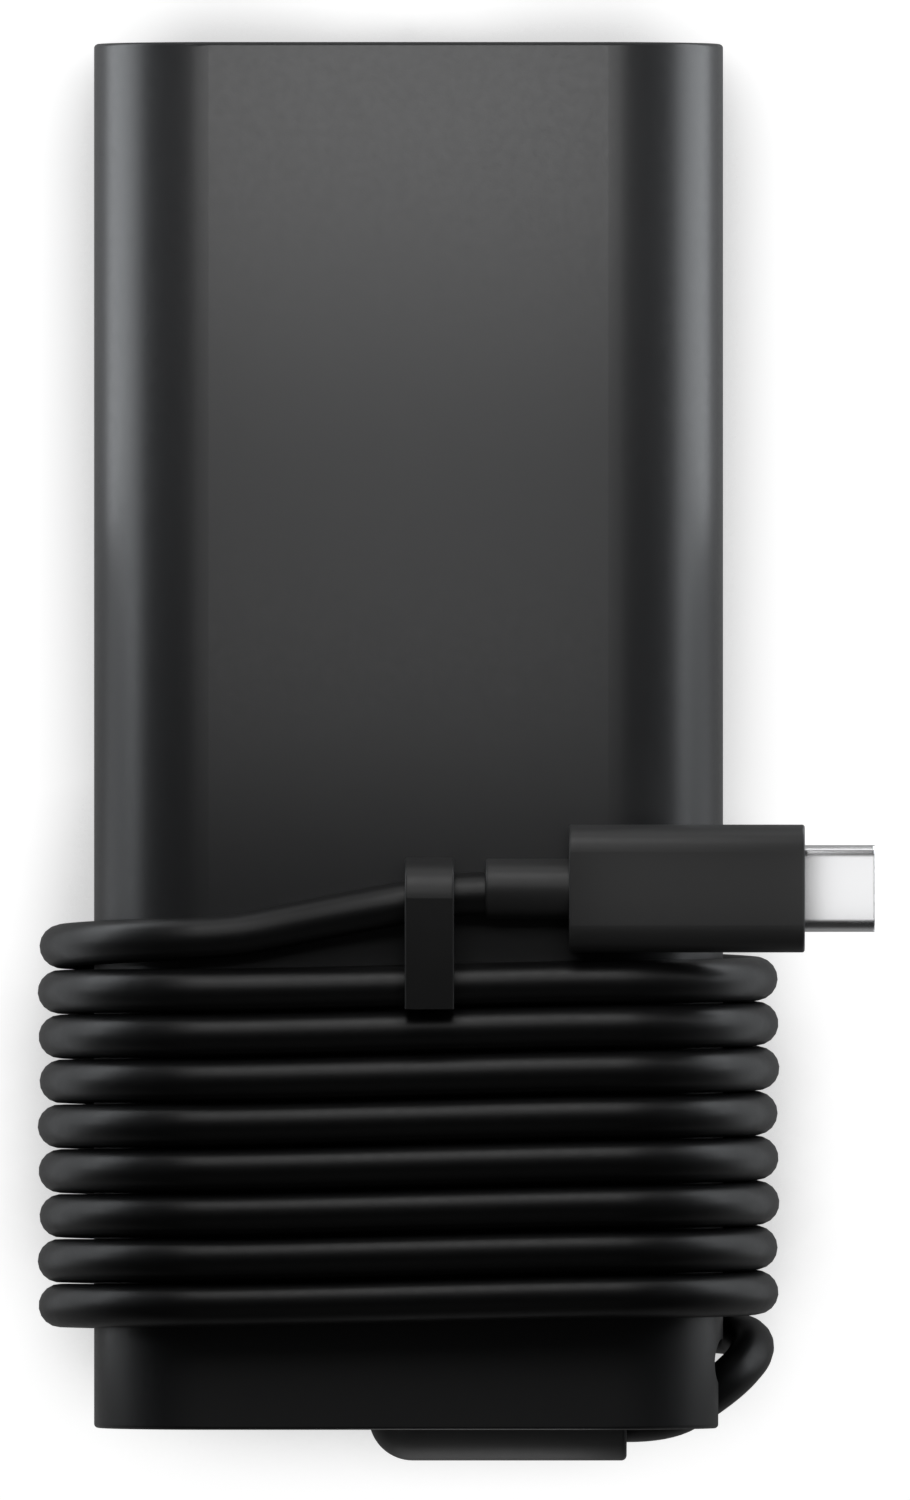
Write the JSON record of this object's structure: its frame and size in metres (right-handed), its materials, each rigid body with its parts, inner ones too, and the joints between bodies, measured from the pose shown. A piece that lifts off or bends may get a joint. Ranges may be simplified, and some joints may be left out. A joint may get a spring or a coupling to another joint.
{
  "type": "laptop power adapter",
  "caption": "Slim laptop power adapter: rounded clamshell housing with a three-pin inlet, its output lead wound round it, clipped, and ended in an oval reversible plug.",
  "frame": {"origin": "centre of the housing", "axes": "+X across the housing's width towards the side where the lead leaves the trough, +Y along its length towards the inlet, +Z out of its front face"},
  "size_m": [0.0797, 0.1351, 0.0333],
  "materials": {
    "housing": "fine spark-eroded texture, satin",
    "inlet_plastic": "smooth moulded",
    "pin_metal": "nickel plated",
    "wire_sleeve": "smooth",
    "board": "solder mask",
    "bobbin_plastic": "moulded",
    "ferrite": "ground ceramic",
    "copper": "enamelled wire under tape",
    "component_dark": "epoxy",
    "disc_coat": "dipped coating",
    "film_case": "moulded case",
    "can": "sleeved can",
    "sheet": "polyester film",
    "spreader": "rolled sheet",
    "pad": "soft silicone",
    "boot": "smooth satin",
    "cord_jacket": "smooth satin extrusion",
    "clip_plastic": "moulded satin",
    "plug_grip": "fine satin moulding",
    "plug_metal": "nickel plated, satin",
    "plug_liner": "moulded",
    "contact_metal": "gold plated"
  },
  "bodies": {
    "adapter": {"front_cover": "housing", "rear_cover": "housing", "ac_inlet_body": "inlet_plastic", "inlet_pins": "pin_metal", "inlet_wires": "wire_sleeve", "main_board": "board", "choke_base": "bobbin_plastic", "choke_core": "ferrite", "choke_windings": "copper", "mains_fuse": "component_dark", "surge_absorber": "disc_coat", "inrush_limiter": "component_dark", "film_capacitor": "film_case", "bridge_rectifier": "component_dark", "safety_capacitor": "disc_coat", "power_switches": "component_dark", "control_chips": "component_dark", "output_card": "board", "output_rectifiers": "component_dark", "output_choke": "ferrite", "transformer_core": "ferrite", "transformer_bobbin": "bobbin_plastic", "transformer_winding": "copper", "boost_choke_core": "ferrite", "boost_choke_bobbin": "bobbin_plastic", "boost_choke_winding": "copper", "bulk_capacitors": "can", "output_capacitors": "can", "output_wires": "wire_sleeve", "insulating_sheet": "sheet", "heat_spreader": "spreader", "rear_sheet": "sheet", "thermal_pads": "pad", "cord_elbow": "boot", "cord_lead": "cord_jacket", "cord_winding": "cord_jacket", "cord_tail": "cord_jacket", "plug_strain_relief": "plug_grip", "plug_overmould": "plug_grip", "plug_board": "board", "plug_shell": "plug_metal", "plug_insert": "plug_liner", "plug_contacts": "contact_metal"},
    "clip": {"cord_clip": "clip_plastic"}
  },
  "joints": [
    {"name": "clip_swing", "type": "hinge", "parent": "adapter", "child": "clip", "pos_m": [0.002, -0.01542, 0.0143], "axis": [-1, 0, 0], "range_deg": [0, 50]}
  ]
}
